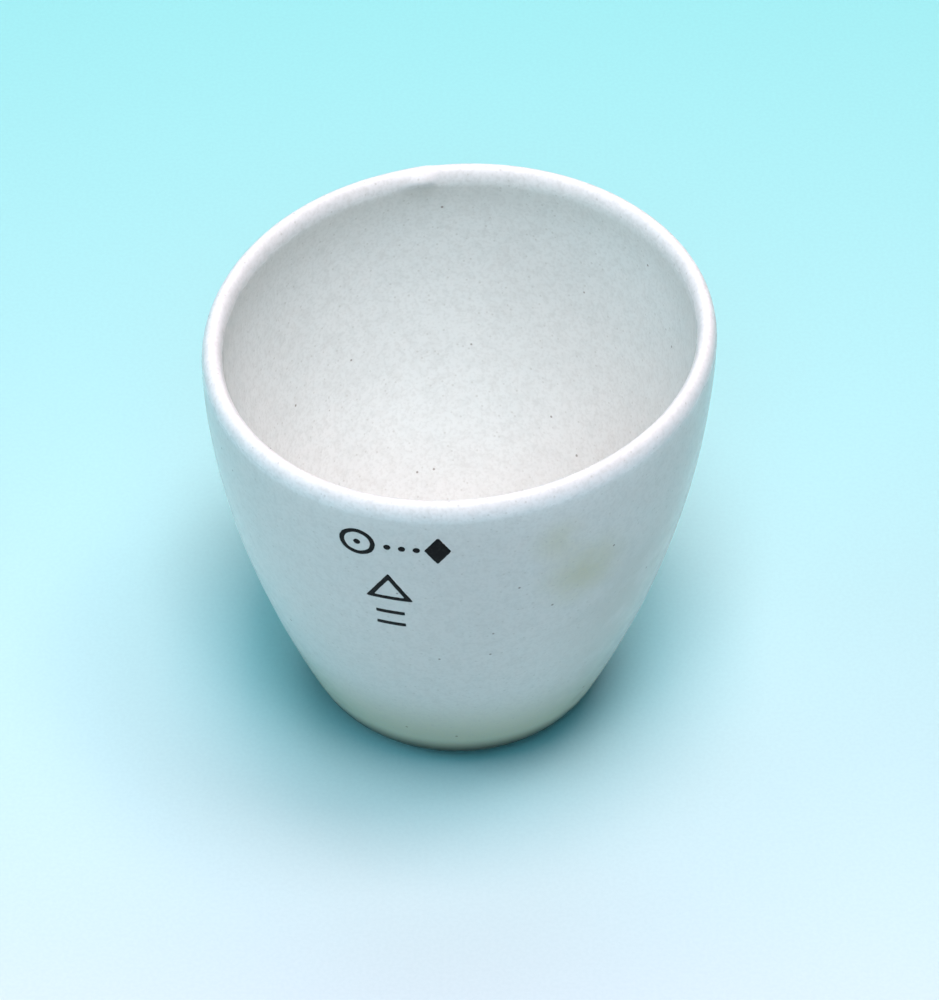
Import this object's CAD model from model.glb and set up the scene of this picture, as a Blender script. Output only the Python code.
"""The look of a small glazed porcelain crucible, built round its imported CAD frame.

Metres, +Z up, in the frame's own axes: the ink mark faces -Y. The glaze, the bare body and
each ink stroke are rebuilt as fine meshes that stand for their CAD nodes. They follow the
same half section as the CAD solids, with the small unevenness of real glaze and ink.
"""

from math import atan, atan2, cos, exp, hypot, pi, radians, sin, sqrt, tau

import bpy
from mathutils import Matrix, Vector, noise


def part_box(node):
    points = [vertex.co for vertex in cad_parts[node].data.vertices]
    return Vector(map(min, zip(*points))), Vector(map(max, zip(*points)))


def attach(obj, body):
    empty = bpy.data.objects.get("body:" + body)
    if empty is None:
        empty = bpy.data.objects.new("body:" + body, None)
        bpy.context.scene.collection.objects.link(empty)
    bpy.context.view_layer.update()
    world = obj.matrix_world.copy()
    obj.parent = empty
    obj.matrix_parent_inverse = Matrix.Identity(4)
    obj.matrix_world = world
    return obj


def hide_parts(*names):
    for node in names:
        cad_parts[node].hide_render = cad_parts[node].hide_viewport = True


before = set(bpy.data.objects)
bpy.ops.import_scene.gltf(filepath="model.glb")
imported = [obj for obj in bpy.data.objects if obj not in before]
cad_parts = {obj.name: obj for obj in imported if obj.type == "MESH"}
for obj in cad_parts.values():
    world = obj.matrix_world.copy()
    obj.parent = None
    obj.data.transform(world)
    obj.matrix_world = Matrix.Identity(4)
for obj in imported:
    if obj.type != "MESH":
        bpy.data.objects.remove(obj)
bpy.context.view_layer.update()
GLAZE_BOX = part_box("glaze_coat")

MM = 0.001

# Half section, finished sizes over the glaze.
RIM_RADIUS = GLAZE_BOX[1].x
RIM_HEIGHT = 39.4 * MM
LIP_HALF_WIDTH = 0.85 * MM
LIP_DEPTH = 1.7 * MM
OUTER_LOW_RADIUS = 11.6 * MM
INNER_LOW_RADIUS = 10.3 * MM
WALL_FLARE = 1.81
FLOOR_HEIGHT = 2.6 * MM
FLOOR_FILLET = 5.0 * MM
HEEL_RADIUS = 5.0 * MM
COAT = 0.24 * MM

# The body under the coat, and the levels that follow from it.
BODY_RIM_RADIUS = RIM_RADIUS - COAT
BODY_LIP_HALF_WIDTH = LIP_HALF_WIDTH - COAT
BODY_LIP_DEPTH = LIP_DEPTH - COAT
BODY_HEEL_RADIUS = HEEL_RADIUS - COAT
BODY_FLOOR_FILLET = FLOOR_FILLET + COAT
LIP_LEVEL = RIM_HEIGHT - LIP_DEPTH
BODY_FLOOR = FLOOR_HEIGHT - COAT
OUTER_FLARE = BODY_RIM_RADIUS - (OUTER_LOW_RADIUS - COAT)
BODY_INNER_RIM = BODY_RIM_RADIUS - 2 * BODY_LIP_HALF_WIDTH
INNER_FLARE = BODY_INNER_RIM - (INNER_LOW_RADIUS + COAT)
LIP_CENTRE = Vector((BODY_RIM_RADIUS - BODY_LIP_HALF_WIDTH, LIP_LEVEL))

# As-fired distortion of the upper wall.
RIM_TILT = 0.90 * MM
RIM_TWIST = -0.22 * MM
RIM_OVAL = 0.016
DISTORTION_POWER = 1.5

# Mesh fineness.
TURN_STEPS = 256
FLOOR_RINGS = 7
FILLET_STEPS = 16
WALL_STEPS = 36
LIP_STEPS = 24
HEEL_STEPS = 16
FOOT_RINGS = 6
HEEL_CROWDING = 1.6              # crowds the glaze's rings towards its edge
HALVINGS = 50
HIDDEN_STRIDE = 2                # surfaces under the glaze take every second ring

# Glaze relief.
GLAZE_SWELLS = [(0.024 * MM, 9 * MM), (0.008 * MM, 3 * MM)]     # (height, size)
GLAZE_BACK = 0.03 * MM
GLAZE_LINE = radians(-66)        # where the glaze ends on the heel's arc
GLAZE_LINE_WAVE = 0.5 * MM
GLAZE_LINE_WAVE_SIZE = 5 * MM
GLAZE_EDGE = 0.4 * MM

# A bead of glaze that gathered under the inner edge of the lip, at the back.
DRIP_AZIMUTH = radians(98.5)
DRIP_LIP_ANGLE = radians(142)
DRIP_BLUNT_SIDE = 0.45 * MM
DRIP_LONG_SIDE = 1.9 * MM
DRIP_SPREAD = 0.6 * MM
DRIP_HEIGHT = 0.41 * MM

# The ink mark: sizes along the wall, and places as (azimuth from -Y, height).
STROKE = 0.43 * MM
ROW_AZIMUTH = radians(-13.6)
ROW_HEIGHT = 34.7 * MM
COLUMN_AZIMUTH = radians(-15.3)
RING_RADIUS = 1.5 * MM
RING_OFFSET = -3.1 * MM
DOT_RADIUS = 0.30 * MM
DOT_OFFSETS = [-0.6 * MM, 0.6 * MM, 1.8 * MM]
LOZENGE_HALF_SIZE = (1.1 * MM, 1.6 * MM)
LOZENGE_OFFSET = 3.5 * MM
TRIANGLE_HEIGHT = 29.1 * MM
TRIANGLE_RADIUS = 2.3 * MM
BAR_HALF_LENGTH = 1.2 * MM
BAR_HEIGHTS = {"bar_upper": 26.2 * MM, "bar_lower": 24.6 * MM}
INK_LIFT = 0.022 * MM
INK_BASE = -0.02 * MM
INK_SKIRT = INK_BASE / 4         # the lift of a stroke's widest ring
INK_WOBBLE = 0.035 * MM
INK_WOBBLE_SIZE = 0.3 * MM
INK_TURN_STEPS = 120
INK_RINGS = [0.08, 0.3, 0.5, 0.7, 0.92]      # shares of the way across a stroke
CORNER_SHARPNESS = 16

# The glaze's colours. A tone is (height where it starts, height where it is full, strength,
# colour); a stain is (place, radius, strength, colour).
GLAZE_COLOURS = ((0.828, 0.853, 0.836), (0.80, 0.828, 0.812))
OUTSIDE_TONES = [
    (60 * MM, 33 * MM, 0.84, (0.68, 0.685, 0.65)),
    (14 * MM, 4.0 * MM, 0.72, (0.47, 0.47, 0.28)),
]
FOOT_TONE = (4.7 * MM, 2.0 * MM, 0.95, (0.045, 0.041, 0.026))
RIM_TONE = (37.6 * MM, 38.9 * MM, 0.55, (0.92, 0.925, 0.945))
STAINS = [
    ((14.5 * MM, -11.5 * MM, 22.0 * MM), 11.0 * MM, 0.66, (0.46, 0.47, 0.42)),
    ((12.5 * MM, -9.5 * MM, 12.5 * MM), 10.0 * MM, 0.58, (0.46, 0.47, 0.42)),
    ((10.4 * MM, -17.3 * MM, 29.0 * MM), 5.5 * MM, 0.75, (0.56, 0.55, 0.38)),
    ((8.2 * MM, -19.0 * MM, 34.0 * MM), 3.5 * MM, 0.50, (0.60, 0.59, 0.42)),
]
GRAIN = [(0.30 * MM, 0.18), (0.90 * MM, 0.12)]      # (size, strength)
GRAIN_COLOUR = (0.50, 0.51, 0.48)
FRECKLES = (0.75 * MM, 0.14 * MM, 0.8, 0.30)        # (cell, radius, share of cells, strength)
FRECKLE_COLOUR = (0.42, 0.42, 0.37)
IRON_SPECKS = (2.4 * MM, 0.16 * MM, 0.5, 0.75)
IRON_COLOUR = (0.17, 0.14, 0.11)

# The glaze's gloss, and its relief as (depth, strength).
GLAZE_ROUGHNESS = (0.18, 0.26)
GLAZE_GLOSS = (0.42, 0.04)       # where it is bright, and where it is dull
RIM_WEAR = (37.8 * MM, 38.8 * MM)    # heights where the rim's wear starts and is full
RIM_MATT = 0.14                  # what full wear adds to the roughness
RIM_DULL = 0.75                  # how far full wear goes from bright to dull
PEEL = (0.006 * MM, 0.15)
PITS = (0.01 * MM, 0.3)
SPECK_CORE = 0.4                 # the share of a speck's radius that has its full strength

# Bare porcelain, ink and background card.
BISQUE_COLOURS = ((0.74, 0.71, 0.64), (0.66, 0.63, 0.56))
SAND_COLOUR = (0.50, 0.47, 0.41)
RUB_MARKS = (0.9 * MM, 0.12 * MM, 0.3, 0.6)
RUB_COLOUR = (0.22, 0.19, 0.16)
INK_COLOURS = ((0.003, 0.004, 0.004), (0.016, 0.018, 0.016))
CARD_COLOURS = ((0.695, 0.785, 0.85), (0.32, 0.80, 0.79))
CARD_GRADE = (-0.045, 0.10)      # the stretch of Y over which the card's colour changes
CARD_GRADE_POWER = 0.65
FIBRE_COLOUR = (0.20, 0.40, 0.48)
FLOOR_HALF_SIDE = 1.5

# Camera.
CAMERA_ELEVATION = radians(44.75)
CAMERA_DISTANCE = 0.42
CAMERA_LENS = 179.65             # in mm, on the default 36 mm wide film
CAMERA_ROLL = radians(0.69)
AIM_HEIGHT = RIM_HEIGHT / 2
AIM_RIGHT = 0.98 * MM
AIM_DOWN = 0.02 * MM
CLIP_START = 0.01

# Soft boxes: (azimuth from -Y towards +X, elevation) in degrees, side, power and colour.
SOFT_BOXES = {
    "overhead": ((0, 90), 0.15, 1.25, (1.00, 0.55, 0.49)),
    "front_high": ((0, 74), 0.17, 1.64, (1.00, 0.85, 0.88)),
    "right_high": ((90, 74), 0.17, 1.00, (1.00, 0.86, 0.87)),
    "back": ((180, 52), 0.45, 1.14, (0.60, 0.86, 1.00)),
    "front": ((0, 51), 0.30, 1.09, (0.29, 0.84, 1.00)),
    "left": ((270, 20), 0.30, 0.89, (0.50, 0.87, 1.00)),
}
SOFT_BOX_DISTANCE = 0.60
SURROUND_COLOUR = (0.50, 0.85, 1.0)
SURROUND_STRENGTH = 0.02


# ------------------------------------------------------------------ section geometry
def outer_wall(z):
    """The body's outer radius at height z, and the wall's slope there."""
    reach = (LIP_LEVEL - z) / LIP_LEVEL
    slope = OUTER_FLARE * WALL_FLARE * reach ** (WALL_FLARE - 1) / LIP_LEVEL
    return BODY_RIM_RADIUS - OUTER_FLARE * reach ** WALL_FLARE, slope


def inner_wall(z):
    """The body's inner radius at height z, and the wall's slope there."""
    depth = LIP_LEVEL - BODY_FLOOR
    reach = (LIP_LEVEL - z) / depth
    slope = INNER_FLARE * WALL_FLARE * reach ** (WALL_FLARE - 1) / depth
    return BODY_INNER_RIM - INNER_FLARE * reach ** WALL_FLARE, slope


def wall_station(wall, z, side):
    """A wall's point at height z and its normal, away from the axis for side 1."""
    radius, slope = wall(z)
    return Vector((radius, z)), side * Vector((1, -slope)).normalized()


def touching_height(wall, distance, level):
    """The height on a wall whose point a distance towards the axis lies at a given level."""
    low, high = 0.0, LIP_LEVEL
    for _ in range(HALVINGS):
        middle = (low + high) / 2
        point, normal = wall_station(wall, middle, -1)
        if (point + distance * normal).y < level:
            low = middle
        else:
            high = middle
    return low


def unit(angle):
    """A unit vector at an angle from the radius."""
    return Vector((cos(angle), sin(angle)))


def arc_stations(centre, radius, start, end, steps, side):
    """Stations along an arc, with both ends; side is 1 where the body is inside the arc."""
    turns = [unit(start + (end - start) * step / steps) for step in range(steps + 1)]
    return [(centre + radius * turn, side * turn) for turn in turns]


def lip_station(angle):
    """A point of the lip's upright half ellipse, and its normal."""
    across, up = unit(angle)
    point = Vector((BODY_LIP_HALF_WIDTH * across, BODY_LIP_DEPTH * up))
    normal = Vector((across / BODY_LIP_HALF_WIDTH, up / BODY_LIP_DEPTH)).normalized()
    return LIP_CENTRE + point, normal


def between(start, end, steps):
    """Evenly spaced values strictly between two values."""
    return [start + (end - start) * step / steps for step in range(1, steps)]


def heel():
    """The centre of the heel's arc, the angle where it leaves the wall, and that height."""
    touch = touching_height(outer_wall, BODY_HEEL_RADIUS, BODY_HEEL_RADIUS)
    point, normal = wall_station(outer_wall, touch, -1)
    return point + BODY_HEEL_RADIUS * normal, -atan(outer_wall(touch)[1]), touch


HEEL_CENTRE, HEEL_START, HEEL_TOUCH = heel()


def cup_stations():
    """(point, outward normal) along the body's half section, from beside the floor's middle,
    up the inside, over the lip and down the outside to where the heel starts."""
    touch = touching_height(inner_wall, BODY_FLOOR_FILLET, BODY_FLOOR + BODY_FLOOR_FILLET)
    point, normal = wall_station(inner_wall, touch, -1)
    centre = point + BODY_FLOOR_FILLET * normal
    floor = [(Vector((x, BODY_FLOOR)), Vector((0, 1))) for x in between(0, centre.x, FLOOR_RINGS)]
    end = -atan(inner_wall(touch)[1])
    fillet = arc_stations(centre, BODY_FLOOR_FILLET, -pi / 2, end, FILLET_STEPS, -1)
    inside = [wall_station(inner_wall, z, -1) for z in between(touch, LIP_LEVEL, WALL_STEPS)]
    lip = [lip_station(pi - pi * step / LIP_STEPS) for step in range(LIP_STEPS + 1)]
    outside = [wall_station(outer_wall, z, 1) for z in between(LIP_LEVEL, HEEL_TOUCH, WALL_STEPS)]
    return floor + fillet + inside + lip + outside


CUP_STATIONS = cup_stations()
TURN_ANGLES = [tau * step / TURN_STEPS for step in range(TURN_STEPS)]


def as_fired(place):
    """Tilts, twists and ovals the upper wall a little, as firing does."""
    share = max(0.0, (place.z - FLOOR_HEIGHT) / (RIM_HEIGHT - FLOOR_HEIGHT)) ** DISTORTION_POWER
    across = place.x / RIM_RADIUS
    diagonal = 2 * place.x * place.y / RIM_RADIUS ** 2
    oval = 1 + share * RIM_OVAL * sin(2 * atan2(place.y, place.x))
    rise = share * (RIM_TILT * across + RIM_TWIST * diagonal)
    return Vector((place.x * oval, place.y * oval, place.z + rise))


def turned(station, angle, lift):
    """A station lifted along its normal and turned about the axis."""
    at = station[0] + station[1] * lift
    return Vector((at.x * cos(angle), at.x * sin(angle), at.y))


def swell(place):
    """How far the glaze stands proud or shy of its mean surface at a place."""
    return sum(rise * noise.noise(place / size) for rise, size in GLAZE_SWELLS)


def drip(station, angle):
    """The height of the glaze bead at a station near the lip."""
    along = (angle - DRIP_AZIMUTH) * RIM_RADIUS
    width = DRIP_LONG_SIDE if along > 0 else DRIP_BLUNT_SIDE
    gap = (station[0] - lip_station(DRIP_LIP_ANGLE)[0]).length
    return DRIP_HEIGHT * exp(-((along / width) ** 2)) * exp(-((gap / DRIP_SPREAD) ** 2))


def on_glaze(station, angle, lift=0.0):
    """The fired place of a point on the glaze's uneven surface, or a lift above it."""
    uneven = swell(turned(station, angle, COAT)) + drip(station, angle)
    return as_fired(turned(station, angle, COAT + uneven + lift))


# ------------------------------------------------------------------ mesh helpers
def skinned(name, rings, poles, material):
    """A closed object from rings of points. Poles close the two ends with fans; without
    them the last ring joins the first."""
    steps = len(rings[0])
    places = [place for ring in rings for place in ring]
    faces = []
    pairs = list(zip(range(len(rings)), range(1, len(rings))))
    if not poles:
        pairs.append((len(rings) - 1, 0))
    after = [(step + 1) % steps for step in range(steps)]
    for one, two in pairs:
        one, two = one * steps, two * steps
        for step, following in enumerate(after):
            faces.append((one + step, two + step, two + following, one + following))
    if poles:
        first, last, final = len(places), len(places) + 1, (len(rings) - 1) * steps
        places += poles
        faces += [(first, step, after[step]) for step in range(steps)]
        faces += [(last, final + after[step], final + step) for step in range(steps)]
    mesh = bpy.data.meshes.new(name)
    mesh.from_pydata(places, [], faces)
    mesh.shade_smooth()
    mesh.materials.append(material)
    item = bpy.data.objects.new(name, mesh)
    bpy.context.scene.collection.objects.link(item)
    return item


def stands_for(item, node):
    """Says which CAD node a piece shows, and where its finish comes from."""
    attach(item, "root")
    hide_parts(node)


# ------------------------------------------------------------------ the pieces
def glaze_line(angle):
    """The heel-arc angle where the glaze ends, in slow waves round the foot."""
    place = Vector((cos(angle), sin(angle), 0)) * HEEL_CENTRE.x / GLAZE_LINE_WAVE_SIZE
    return GLAZE_LINE + GLAZE_LINE_WAVE * noise.noise(place) / BODY_HEEL_RADIUS


def glazed_heel_ring(share, face):
    """One ring of the glaze on the heel, at a share of the way to the glaze line. The face
    thins to a round edge over its last stretch."""
    ring = []
    for angle in TURN_ANGLES:
        end = glaze_line(angle)
        turn = unit(HEEL_START + (end - HEEL_START) * share)
        station = (HEEL_CENTRE + BODY_HEEL_RADIUS * turn, turn)
        left = (1 - share) * (HEEL_START - end) * BODY_HEEL_RADIUS
        thinned = 1 - min(1, left / GLAZE_EDGE)
        lift = max(COAT * sqrt(1 - thinned ** 2), GLAZE_BACK) if face else GLAZE_BACK
        ring.append(as_fired(turned(station, angle, lift)))
    return ring


def make_glaze(material):
    """The glaze: a skin over the inside, the lip and the outside, down to the glaze line."""
    shares = [1 - (1 - step / HEEL_STEPS) ** HEEL_CROWDING for step in range(HEEL_STEPS + 1)]
    rings = [[on_glaze(station, angle) for angle in TURN_ANGLES] for station in CUP_STATIONS]
    rings += [glazed_heel_ring(share, True) for share in shares]
    rings += [glazed_heel_ring(share, False) for share in shares[-2::-HIDDEN_STRIDE]]
    for station in CUP_STATIONS[::HIDDEN_STRIDE][::-1]:
        rings.append([as_fired(turned(station, angle, GLAZE_BACK)) for angle in TURN_ANGLES])
    middle = Vector((0, 0, FLOOR_HEIGHT))
    poles = [middle + Vector((0, 0, swell(middle))), Vector((0, 0, BODY_FLOOR + GLAZE_BACK))]
    stands_for(skinned("crucible_glaze", rings, poles, material), "glaze_coat")


def make_body(material):
    """The porcelain under the glaze, which shows on the heel and the foot."""
    heel_arc = arc_stations(HEEL_CENTRE, BODY_HEEL_RADIUS, HEEL_START, -pi / 2, HEEL_STEPS, 1)
    foot = [(Vector((x, 0)), Vector((0, -1))) for x in between(HEEL_CENTRE.x, 0, FOOT_RINGS)]
    stations = CUP_STATIONS[::HIDDEN_STRIDE] + heel_arc + foot
    rings = []
    for station in stations:
        rings.append([as_fired(turned(station, angle, 0)) for angle in TURN_ANGLES])
    poles = [Vector((0, 0, BODY_FLOOR)), Vector((0, 0, 0))]
    stands_for(skinned("crucible_body", rings, poles, material), "body")


def disc(radius):
    """The reach of a round outline, the same in every direction."""
    return lambda angle: radius


def straight_sided(sides):
    """The reach of a convex outline in a direction, from its sides as (facing, distance);
    the corners are slightly rounded, as a stamp leaves them."""
    def reach(angle):
        crowding = 0.0
        for facing, distance in sides:
            crowding += max(0.0, cos(angle - facing) / distance) ** CORNER_SHARPNESS
        return crowding ** (-1 / CORNER_SHARPNESS)
    return reach


def triangle(radius):
    """An equal-sided triangle, one corner up."""
    return straight_sided([(-pi / 2 + turn * tau / 3, radius / 2) for turn in range(3)])


def lozenge(half_width, half_height):
    """A lozenge that stands on a corner."""
    facing = atan2(half_width, half_height)
    distance = half_width * half_height / hypot(half_width, half_height)
    turns = (facing, pi - facing, pi + facing, -facing)
    return straight_sided([(turn, distance) for turn in turns])


def bar(half_length, half_height):
    """A level bar."""
    ends = [(0, half_length), (pi, half_length)]
    return straight_sided(ends + [(pi / 2, half_height), (-pi / 2, half_height)])


def ink_stroke(name, azimuth, level, outer, inner, stretch, material):
    """One ink stroke on the wall: the figure between an outer and an inner reach, or a filled
    one where the inner is None. Stretch crowds the points into the figure's narrow ends."""
    def inside_reach(angle):
        return inner(angle) if inner else 0.0

    def place(angle, share, lift):
        reach = inside_reach(angle) + (outer(angle) - inside_reach(angle)) * share
        station = wall_station(outer_wall, level + reach * sin(angle), 1)
        turn = azimuth + reach * cos(angle) / station[0].x - pi / 2
        return on_glaze(station, turn, lift)

    def ragged(angle, share, lift):
        push = INK_WOBBLE * noise.noise(place(angle, share, lift) / INK_WOBBLE_SIZE)
        grow = push / (outer(angle) - inside_reach(angle))
        return place(angle, share + (grow if share else -grow), lift)

    around = []
    for step in range(INK_TURN_STEPS):
        turn = tau * step / INK_TURN_STEPS
        around.append(atan2(sin(turn), stretch * cos(turn)))
    rings = [[place(angle, share, INK_LIFT) for angle in around] for share in INK_RINGS]
    rings.append([ragged(angle, 1, INK_SKIRT) for angle in around])
    rings += [[place(angle, share, INK_BASE) for angle in around] for share in INK_RINGS[::-2]]
    if inner:
        rings.append([ragged(angle, 0, INK_SKIRT) for angle in around])
        poles = None
    else:
        poles = [place(0, 0, INK_LIFT), place(0, 0, INK_BASE)]
    stroke = skinned(f"ink_{name}", rings, poles, material)
    stands_for(stroke, f"mark_{name}")


def make_mark(material):
    """The ink mark: a dotted ring, three dots and a lozenge, over a triangle and two bars."""
    def on_row(name, offset, outer, inner=None, stretch=1):
        azimuth = ROW_AZIMUTH + offset / RIM_RADIUS
        ink_stroke(name, azimuth, ROW_HEIGHT, outer, inner, stretch, material)

    on_row("ring", RING_OFFSET, disc(RING_RADIUS), disc(RING_RADIUS - STROKE))
    on_row("ring_centre", RING_OFFSET, disc(DOT_RADIUS))
    for number, offset in enumerate(DOT_OFFSETS, 1):
        on_row(f"dot_{number}", offset, disc(DOT_RADIUS))
    wide, tall = LOZENGE_HALF_SIZE
    on_row("lozenge", LOZENGE_OFFSET, lozenge(wide, tall), stretch=tall / wide)
    outer, inner = triangle(TRIANGLE_RADIUS), triangle(TRIANGLE_RADIUS - 2 * STROKE)
    ink_stroke("triangle", COLUMN_AZIMUTH, TRIANGLE_HEIGHT, outer, inner, 1, material)
    level_bar = bar(BAR_HALF_LENGTH, STROKE / 2)
    narrowness = STROKE / (2 * BAR_HALF_LENGTH)
    for name, level in BAR_HEIGHTS.items():
        ink_stroke(name, COLUMN_AZIMUTH, level, level_bar, None, 1 / narrowness, material)


# ------------------------------------------------------------------ material helpers
def new_material(name):
    """A node material, its tree and its shader."""
    material = bpy.data.materials.new(name)
    material.use_nodes = True
    return material, material.node_tree, material.node_tree.nodes["Principled BSDF"]


def add_node(tree, kind, inputs, **settings):
    """A node with its settings, and its inputs set or linked."""
    node = tree.nodes.new(kind)
    for key, value in settings.items():
        setattr(node, key, value)
    for key, value in inputs.items():
        if isinstance(value, bpy.types.NodeSocket):
            tree.links.new(value, node.inputs[key])
        else:
            node.inputs[key].default_value = value
    return node


def places(tree):
    """Places in metres, in the object's own axes."""
    return add_node(tree, "ShaderNodeTexCoord", {}).outputs["Object"]


def cloud(tree, size, detail=2.0):
    """Soft noise with blotches of about a size, from 0 to 1."""
    inputs = {"Vector": places(tree), "Scale": 1 / size, "Detail": detail}
    return add_node(tree, "ShaderNodeTexNoise", inputs).outputs["Fac"]


def spread(tree, value, low, high, out_low=0.0, out_high=1.0, ease="SMOOTHSTEP"):
    """Maps a stretch of a value onto another."""
    inputs = {"Value": value, "From Min": low, "From Max": high}
    inputs.update({"To Min": out_low, "To Max": out_high})
    return add_node(tree, "ShaderNodeMapRange", inputs, interpolation_type=ease).outputs["Result"]


def compute(tree, operation, one, two):
    """A sum, product or other result of two values."""
    return add_node(tree, "ShaderNodeMath", {0: one, 1: two}, operation=operation).outputs[0]


def tinted(tree, share, one, two):
    """A blend of two colours."""
    one, two = [(*value, 1) if isinstance(value, tuple) else value for value in (one, two)]
    node = add_node(tree, "ShaderNodeMix", {}, data_type="RGBA")
    for index, value in ((0, share), (6, one), (7, two)):
        if isinstance(value, bpy.types.NodeSocket):
            tree.links.new(value, node.inputs[index])
        else:
            node.inputs[index].default_value = value
    return node.outputs[2]


def specks(tree, cell, radius, share, strength):
    """A mask of round specks in a share of the cells."""
    inputs = {"Vector": places(tree), "Scale": 1 / cell}
    cells = add_node(tree, "ShaderNodeTexVoronoi", inputs)
    chance = add_node(tree, "ShaderNodeSeparateColor", {0: cells.outputs["Color"]}).outputs[0]
    core = SPECK_CORE * radius / cell
    spot = spread(tree, cells.outputs["Distance"], radius / cell, core, 0, strength)
    return compute(tree, "MULTIPLY", spot, compute(tree, "LESS_THAN", chance, share))


def near(tree, centre, radius, strength):
    """A soft mask round a point."""
    inputs = {0: places(tree), 1: centre}
    gap = add_node(tree, "ShaderNodeVectorMath", inputs, operation="DISTANCE").outputs["Value"]
    return spread(tree, gap, radius, 0.0, 0.0, strength)


def height_above_foot(tree):
    """The height of the shaded point above the foot face."""
    return add_node(tree, "ShaderNodeSeparateXYZ", {0: places(tree)}).outputs["Z"]


def level_height(tree):
    """The height in the rim's own tilted plane."""
    place = add_node(tree, "ShaderNodeSeparateXYZ", {0: places(tree)})
    rise = compute(tree, "MULTIPLY", place.outputs["X"], RIM_TILT / RIM_RADIUS)
    return compute(tree, "SUBTRACT", place.outputs["Z"], rise)


def outside(tree):
    """A mask of the outside, whose surface faces out and a little down."""
    facing = add_node(tree, "ShaderNodeTexCoord", {}).outputs["Normal"]
    upward = add_node(tree, "ShaderNodeSeparateXYZ", {0: facing}).outputs["Z"]
    return spread(tree, upward, 0.1, -0.05)


def bumped(tree, relief, distance, strength, normal=None):
    """A bump normal from a relief mask."""
    inputs = {"Height": relief, "Distance": distance, "Strength": strength}
    if normal:
        inputs["Normal"] = normal
    return add_node(tree, "ShaderNodeBump", inputs).outputs["Normal"]


# ------------------------------------------------------------------ materials
def glaze_tones(tree):
    """The glaze's slow changes: faint clouds, a greyer outside, an earthy tone where it thins
    out towards the foot, and a whiter rim."""
    clouds = spread(tree, cloud(tree, 8 * MM), 0.35, 0.65)
    colour = tinted(tree, clouds, *GLAZE_COLOURS)
    above = height_above_foot(tree)
    for start, end, strength, tone in OUTSIDE_TONES:
        share = spread(tree, above, start, end, 0.0, strength)
        share = compute(tree, "MULTIPLY", share, outside(tree))
        colour = tinted(tree, share, colour, tone)
    start, end, strength, tone = RIM_TONE
    share = spread(tree, level_height(tree), start, end, 0.0, strength)
    return tinted(tree, share, colour, tone)


def foot_share(tree):
    """How dark and dull the glaze is at the foot, where it is thinnest and holds dirt."""
    start, end, strength = FOOT_TONE[:3]
    share = spread(tree, height_above_foot(tree), start, end, 0.0, strength)
    return compute(tree, "MULTIPLY", share, outside(tree))


def glaze_material():
    """Glossy white glaze with a fine grey grain, freckles, iron specks and faint stains, less
    glossy on the worn rim, and dark and dull at the foot."""
    material, tree, shader = new_material("glaze")
    colour = glaze_tones(tree)
    patches = spread(tree, cloud(tree, 2.5 * MM), 0.25, 0.6, 0.5, 1.0)
    patches = compute(tree, "MULTIPLY", patches, outside(tree))
    for place, radius, strength, tone in STAINS:
        stain = compute(tree, "MULTIPLY", near(tree, place, radius, strength), patches)
        colour = tinted(tree, stain, colour, tone)
    for size, strength in GRAIN:
        grain = spread(tree, cloud(tree, size, 1.0), 0.42, 0.70, 0.0, strength)
        colour = tinted(tree, grain, colour, GRAIN_COLOUR)
    freckles = specks(tree, *FRECKLES)
    colour = tinted(tree, freckles, colour, FRECKLE_COLOUR)
    colour = tinted(tree, specks(tree, *IRON_SPECKS), colour, IRON_COLOUR)
    at_foot = foot_share(tree)
    colour = tinted(tree, at_foot, colour, FOOT_TONE[3])
    tree.links.new(colour, shader.inputs["Base Color"])
    worn = spread(tree, level_height(tree), *RIM_WEAR)
    matt = spread(tree, cloud(tree, 1.5 * MM), 0.3, 0.7, *GLAZE_ROUGHNESS)
    matt = compute(tree, "ADD", matt, compute(tree, "MULTIPLY", worn, RIM_MATT))
    tree.links.new(matt, shader.inputs["Roughness"])
    dull = compute(tree, "MAXIMUM", at_foot, compute(tree, "MULTIPLY", worn, RIM_DULL))
    gloss = spread(tree, dull, 0.0, 1.0, *GLAZE_GLOSS)
    tree.links.new(gloss, shader.inputs["Specular IOR Level"])
    peel = bumped(tree, cloud(tree, 0.9 * MM, 1.0), *PEEL)
    pits = compute(tree, "MULTIPLY", freckles, -1.0)
    tree.links.new(bumped(tree, pits, *PITS, peel), shader.inputs["Normal"])
    return material


def bisque_material():
    """Bare fired porcelain: matte and off-white, with a sandy grain and grey rub marks."""
    material, tree, shader = new_material("bare_porcelain")
    colour = tinted(tree, cloud(tree, 4 * MM), *BISQUE_COLOURS)
    sand = spread(tree, cloud(tree, 0.25 * MM, 3.0), 0.45, 0.75, 0.0, 0.3)
    colour = tinted(tree, sand, colour, SAND_COLOUR)
    colour = tinted(tree, specks(tree, *RUB_MARKS), colour, RUB_COLOUR)
    tree.links.new(colour, shader.inputs["Base Color"])
    matt = spread(tree, cloud(tree, 0.4 * MM), 0.3, 0.7, 0.65, 0.85)
    tree.links.new(matt, shader.inputs["Roughness"])
    rough = bumped(tree, cloud(tree, 0.12 * MM, 4.0), 0.03 * MM, 0.5)
    tree.links.new(rough, shader.inputs["Normal"])
    return material


def ink_material():
    """Black ceramic ink, fired on: nearly solid, a little uneven in gloss and depth."""
    material, tree, shader = new_material("ceramic_ink")
    thin = spread(tree, cloud(tree, 0.25 * MM, 3.0), 0.45, 0.8)
    tree.links.new(tinted(tree, thin, *INK_COLOURS), shader.inputs["Base Color"])
    matt = spread(tree, cloud(tree, 0.2 * MM), 0.3, 0.7, 0.28, 0.5)
    tree.links.new(matt, shader.inputs["Roughness"])
    shader.inputs["Specular IOR Level"].default_value = 0.08
    tree.links.new(bumped(tree, cloud(tree, 0.1 * MM), 0.01 * MM, 0.3), shader.inputs["Normal"])
    return material


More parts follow.
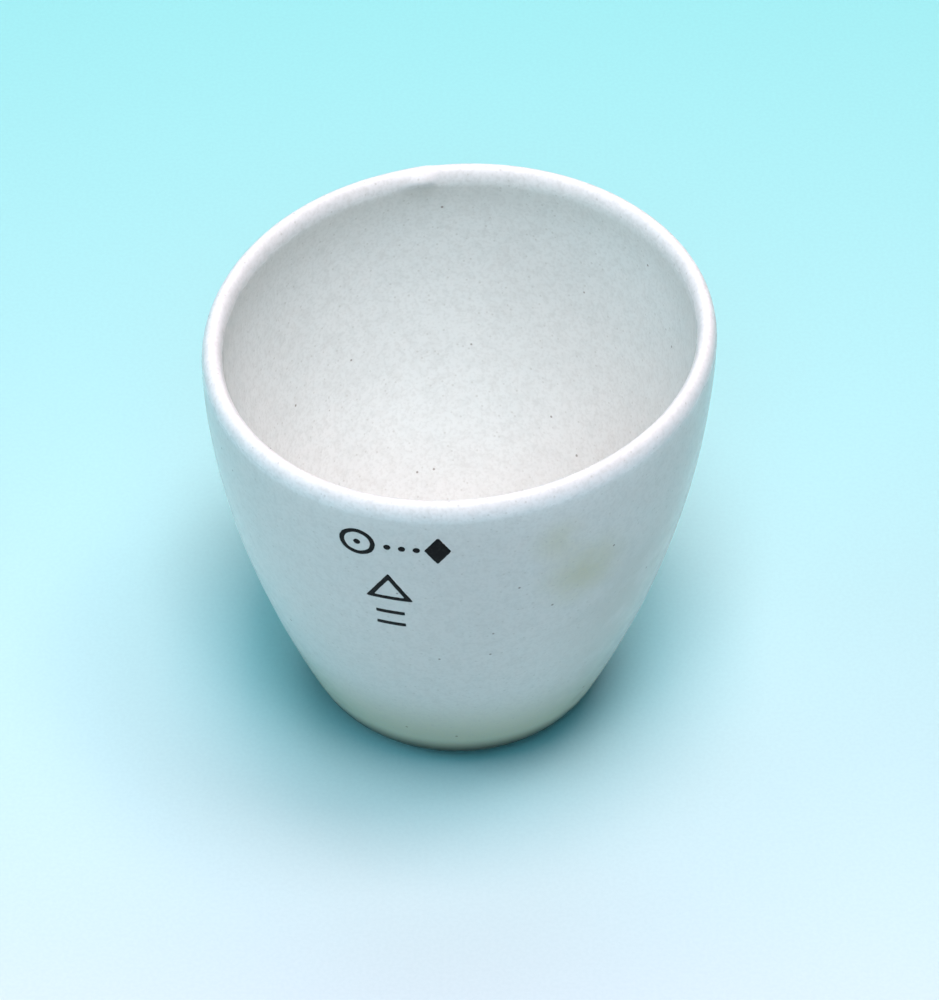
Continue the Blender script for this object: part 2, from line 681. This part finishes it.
def card_material():
    """Matte blue background card, graded from cyan behind to nearly white in front."""
    material, tree, shader = new_material("background_card")
    depth = add_node(tree, "ShaderNodeSeparateXYZ", {0: places(tree)}).outputs["Y"]
    share = spread(tree, depth, *CARD_GRADE, ease="LINEAR")
    share = compute(tree, "POWER", share, CARD_GRADE_POWER)
    colour = tinted(tree, share, *CARD_COLOURS)
    fibres = spread(tree, cloud(tree, 0.35 * MM, 3.0), 0.3, 0.7, 0.0, 0.05)
    colour = tinted(tree, fibres, colour, FIBRE_COLOUR)
    tree.links.new(colour, shader.inputs["Base Color"])
    shader.inputs["Roughness"].default_value = 0.9
    shader.inputs["Specular IOR Level"].default_value = 0.2
    return material


# ------------------------------------------------------------------ surroundings
def make_floor():
    """A wide level card."""
    half = FLOOR_HALF_SIDE
    corners = [(-half, -half, 0), (half, -half, 0), (half, half, 0), (-half, half, 0)]
    mesh = bpy.data.meshes.new("floor")
    mesh.from_pydata(corners, [], [(0, 1, 2, 3)])
    mesh.materials.append(card_material())
    floor = bpy.data.objects.new("floor", mesh)
    bpy.context.scene.collection.objects.link(floor)


def make_lights():
    """Soft boxes aimed at the middle of the crucible."""
    target = Vector((0, 0, AIM_HEIGHT))
    for name, ((azimuth, elevation), side, power, colour) in SOFT_BOXES.items():
        light = bpy.data.lights.new(name, "AREA")
        light.size = side
        light.energy = power
        light.color = colour
        azimuth, elevation = radians(azimuth), radians(elevation)
        level = cos(elevation)
        facing = Vector((sin(azimuth) * level, -cos(azimuth) * level, sin(elevation)))
        lamp = bpy.data.objects.new(name, light)
        lamp.location = target + facing * SOFT_BOX_DISTANCE
        lamp.rotation_euler = facing.to_track_quat("Z", "Y").to_euler()
        bpy.context.scene.collection.objects.link(lamp)


def make_surround():
    """A faint, even, bluish light from all sides."""
    world = bpy.data.worlds.new("surround")
    world.use_nodes = True
    background = world.node_tree.nodes["Background"]
    background.inputs["Color"].default_value = (*SURROUND_COLOUR, 1)
    background.inputs["Strength"].default_value = SURROUND_STRENGTH
    bpy.context.scene.world = world


def make_camera():
    """A long lens, about 45 degrees above the rim."""
    up = Vector((0, sin(CAMERA_ELEVATION), cos(CAMERA_ELEVATION)))
    back = Vector((0, -cos(CAMERA_ELEVATION), sin(CAMERA_ELEVATION)))
    aim = Vector((AIM_RIGHT, 0, AIM_HEIGHT)) - up * AIM_DOWN
    camera = bpy.data.objects.new("camera", bpy.data.cameras.new("camera"))
    camera.data.lens = CAMERA_LENS
    camera.data.clip_start = CLIP_START
    level = back.to_track_quat("Z", "Y").to_matrix().to_4x4()
    roll = Matrix.Rotation(CAMERA_ROLL, 4, "Z")
    camera.matrix_world = Matrix.Translation(aim + back * CAMERA_DISTANCE) @ level @ roll
    bpy.context.scene.collection.objects.link(camera)
    bpy.context.scene.camera = camera


make_camera()
bpy.context.scene.view_settings.view_transform = "Standard"
make_glaze(glaze_material())
make_body(bisque_material())
make_mark(ink_material())
make_floor()
make_lights()
make_surround()
